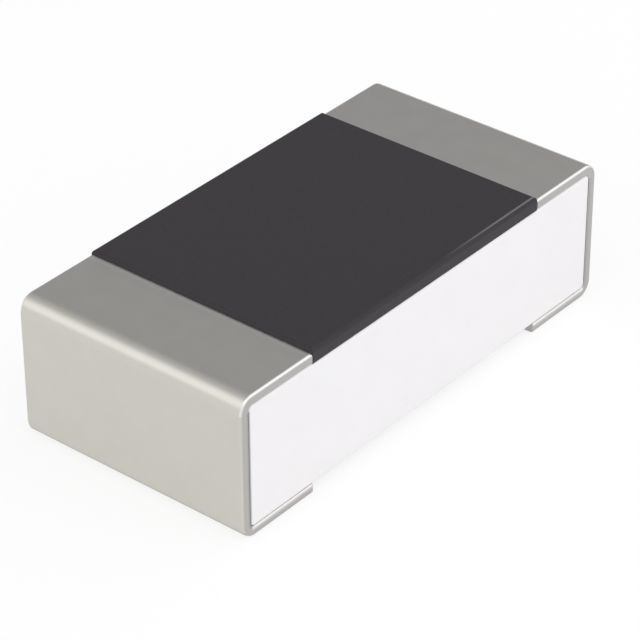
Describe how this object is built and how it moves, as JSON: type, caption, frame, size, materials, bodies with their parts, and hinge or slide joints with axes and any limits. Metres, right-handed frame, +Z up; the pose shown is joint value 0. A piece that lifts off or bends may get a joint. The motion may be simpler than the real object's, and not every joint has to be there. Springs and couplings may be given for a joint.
{
  "type": "smd chip resistor",
  "caption": "Surface-mount thick-film chip resistor: white alumina body, tin-plated wraparound end terminals and a black resin coat over the film, to solder flat on a board.",
  "frame": {"origin": "the chip's middle, which is the centre of its bounding box: the board lies 0.234 mm below it and the coat's top 0.234 mm above it", "axes": "+X along the chip from the left terminal to the right one, +Y across its width, +Z up from the board through the black coat"},
  "size_m": [0.0016, 0.0008, 0.0004],
  "materials": {
    "alumina": "white fired alumina, fine matt grain",
    "tin": "satin electroplated tin",
    "nickel": "dull electroplated nickel",
    "edge_silver": "fired silver paste, matt",
    "printed_silver": "fired silver print, matt",
    "resistor_film": "dark fired ruthenium-oxide film, matt",
    "coat_glass": "fired green glass, smooth",
    "black_resin": "black cured resin, satin"
  },
  "bodies": {
    "root": {"substrate": "alumina", "top_electrode_left": "printed_silver", "top_electrode_right": "printed_silver", "bottom_electrode_left": "printed_silver", "bottom_electrode_right": "printed_silver", "resistor_film": "resistor_film", "glass_coat": "coat_glass", "overcoat": "black_resin", "edge_electrode_left": "edge_silver", "edge_electrode_right": "edge_silver", "nickel_barrier_left": "nickel", "nickel_barrier_right": "nickel", "tin_plating_left": "tin", "tin_plating_right": "tin"}
  },
  "joints": []
}
